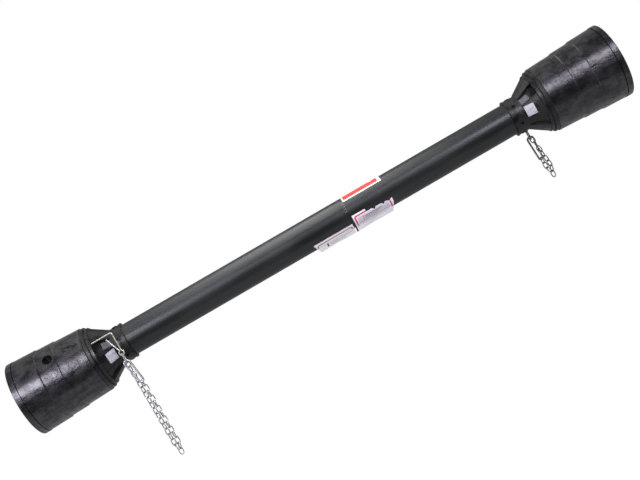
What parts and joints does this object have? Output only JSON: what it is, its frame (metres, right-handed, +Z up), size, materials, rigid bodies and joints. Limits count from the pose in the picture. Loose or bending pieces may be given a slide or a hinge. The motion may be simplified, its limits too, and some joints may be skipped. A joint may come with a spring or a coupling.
{
  "type": "pto drive shaft",
  "caption": "Telescoping cardan drive shaft with splined push-pin yokes in a turning plastic guard of stepped bells, ribbed collars and tubes, with hanging safety chains.",
  "frame": {"origin": "centre of the tractor end's splined bore, at the yoke's outer face", "axes": "+X along the shaft to the implement end, +Z up, the safety chains hang towards -Z, the pictured side faces -Y"},
  "size_m": [1.424, 0.1656, 0.3437],
  "materials": {
    "bell_plastic": "scuffed",
    "collar_plastic": "moulded",
    "tube_plastic": "satin",
    "nylon": "satin",
    "yoke_steel": "forged",
    "bright_steel": "ground",
    "profile_steel": "drawn",
    "seal_rubber": "matt",
    "nipple_brass": "bright",
    "chain_zinc": "zinc plated",
    "clip_zinc": "yellow zinc plated"
  },
  "bodies": {
    "tractor_guard": {"tractor_bell": "bell_plastic", "tractor_collar": "collar_plastic", "tractor_bearing_ring": "nylon", "tractor_guard_tube": "tube_plastic"},
    "tractor_shaft": {"tractor_tube_yoke": "yoke_steel", "tractor_tube_yoke_cups": "bright_steel", "tractor_tube_yoke_circlips": "profile_steel", "tractor_tube_pin": "profile_steel", "outer_profile_tube": "profile_steel"},
    "tractor_joint_cross": {"tractor_cross": "bright_steel", "tractor_cross_seals": "seal_rubber", "tractor_grease_nipple": "nipple_brass"},
    "tractor_yoke": {"tractor_end_yoke": "yoke_steel", "tractor_end_yoke_cups": "bright_steel", "tractor_end_yoke_circlips": "profile_steel", "tractor_spring_plug": "bright_steel", "tractor_pin_spring": "bright_steel"},
    "tractor_lock_pin": {"tractor_push_pin": "bright_steel"},
    "tractor_clip": {"tractor_chain_clip": "clip_zinc"},
    "tractor_chain": {"tractor_chain_connector": "chain_zinc", "tractor_snap_hook": "chain_zinc", "tractor_chain_upper": "chain_zinc"},
    "tractor_gate": {"tractor_hook_gate": "chain_zinc"},
    "tractor_chain_end": {"tractor_chain_lower": "chain_zinc"},
    "implement_guard": {"implement_bell": "bell_plastic", "implement_collar": "collar_plastic", "implement_bearing_ring": "nylon", "implement_guard_tube": "tube_plastic", "inner_guard_tube": "tube_plastic"},
    "implement_shaft": {"implement_tube_yoke": "yoke_steel", "implement_tube_yoke_cups": "bright_steel", "implement_tube_yoke_circlips": "profile_steel", "implement_tube_pin": "profile_steel", "inner_profile_tube": "profile_steel"},
    "implement_joint_cross": {"implement_cross": "bright_steel", "implement_cross_seals": "seal_rubber", "implement_grease_nipple": "nipple_brass"},
    "implement_yoke": {"implement_end_yoke": "yoke_steel", "implement_end_yoke_cups": "bright_steel", "implement_end_yoke_circlips": "profile_steel", "implement_spring_plug": "bright_steel", "implement_pin_spring": "bright_steel"},
    "implement_lock_pin": {"implement_push_pin": "bright_steel"},
    "implement_clip": {"implement_chain_clip": "clip_zinc"},
    "implement_chain": {"implement_chain_connector": "chain_zinc", "implement_snap_hook": "chain_zinc", "implement_chain_upper": "chain_zinc"},
    "implement_gate": {"implement_hook_gate": "chain_zinc"},
    "implement_chain_end": {"implement_chain_lower": "chain_zinc"}
  },
  "joints": [
    {"name": "tractor_guard_turn", "type": "hinge", "parent": "tractor_guard", "child": "tractor_shaft", "pos_m": [0.1925, 0, 0], "axis": [1, 0, 0], "continuous": true},
    {"name": "telescope", "type": "slide", "parent": "tractor_shaft", "child": "implement_shaft", "axis": [1, 0, 0], "range_m": [0, 0.4]},
    {"name": "tractor_cross_swing", "type": "hinge", "parent": "tractor_shaft", "child": "tractor_joint_cross", "pos_m": [0.095, 0, 0], "axis": [0, 0, 1], "range_deg": [-20, 20]},
    {"name": "tractor_yoke_tilt", "type": "hinge", "parent": "tractor_joint_cross", "child": "tractor_yoke", "pos_m": [0.095, 0, 0], "axis": [0, 1, 0], "range_deg": [-20, 20]},
    {"name": "tractor_pin_push", "type": "slide", "parent": "tractor_yoke", "child": "tractor_lock_pin", "axis": [0, -1, 0], "range_m": [0, 0.008], "stiffness_N_per_m": 500, "springref_m": -0.006, "deforming": ["tractor_pin_spring"]},
    {"name": "tractor_clip_swing", "type": "hinge", "parent": "tractor_guard", "child": "tractor_clip", "pos_m": [0.171, -0.05229, 0.03142], "axis": [1, 0, 0], "range_deg": [-60, 0]},
    {"name": "tractor_chain_swing", "type": "hinge", "parent": "tractor_clip", "child": "tractor_chain", "pos_m": [0.22, -0.05229, -0.01783], "axis": [0, 1, 0], "range_deg": [-35, 35]},
    {"name": "tractor_gate_open", "type": "hinge", "parent": "tractor_chain", "child": "tractor_gate", "pos_m": [0.21958, -0.05619, -0.06709], "axis": [0, 1, 0], "range_deg": [0, 18], "stiffness_Nm_per_rad": 0.02, "springref_deg": -17.19},
    {"name": "tractor_chain_end_swing", "type": "hinge", "parent": "tractor_chain", "child": "tractor_chain_end", "pos_m": [0.2242, -0.05162, -0.16026], "axis": [0.8278, -0.561, 0.0015], "range_deg": [-15, 15]},
    {"name": "implement_guard_turn", "type": "hinge", "parent": "implement_shaft", "child": "implement_guard", "pos_m": [1.2075, 0, 0], "axis": [1, 0, 0], "continuous": true},
    {"name": "implement_cross_swing", "type": "hinge", "parent": "implement_shaft", "child": "implement_joint_cross", "pos_m": [1.305, 0, 0], "axis": [0, 0, 1], "range_deg": [-20, 20]},
    {"name": "implement_yoke_tilt", "type": "hinge", "parent": "implement_joint_cross", "child": "implement_yoke", "pos_m": [1.305, 0, 0], "axis": [0, 1, 0], "range_deg": [-20, 20]},
    {"name": "implement_pin_push", "type": "slide", "parent": "implement_yoke", "child": "implement_lock_pin", "axis": [0, -1, 0], "range_m": [0, 0.008], "stiffness_N_per_m": 500, "springref_m": -0.006, "deforming": ["implement_pin_spring"]},
    {"name": "implement_clip_swing", "type": "hinge", "parent": "implement_guard", "child": "implement_clip", "pos_m": [1.229, 0.05988, 0.01164], "axis": [1, 0, 0], "range_deg": [0, 60]},
    {"name": "implement_chain_swing", "type": "hinge", "parent": "implement_clip", "child": "implement_chain", "pos_m": [1.192, 0.05988, -0.03761], "axis": [0, 1, 0], "range_deg": [-35, 35]},
    {"name": "implement_gate_open", "type": "hinge", "parent": "implement_chain", "child": "implement_gate", "pos_m": [1.19691, 0.06378, -0.086], "axis": [0, -1, 0], "range_deg": [0, 18], "stiffness_Nm_per_rad": 0.02, "springref_deg": -17.19},
    {"name": "implement_chain_end_swing", "type": "hinge", "parent": "implement_chain", "child": "implement_chain_end", "pos_m": [1.19563, 0.05914, -0.11757], "axis": [-0.8043, 0.5937, -0.0262], "range_deg": [-15, 15]}
  ]
}
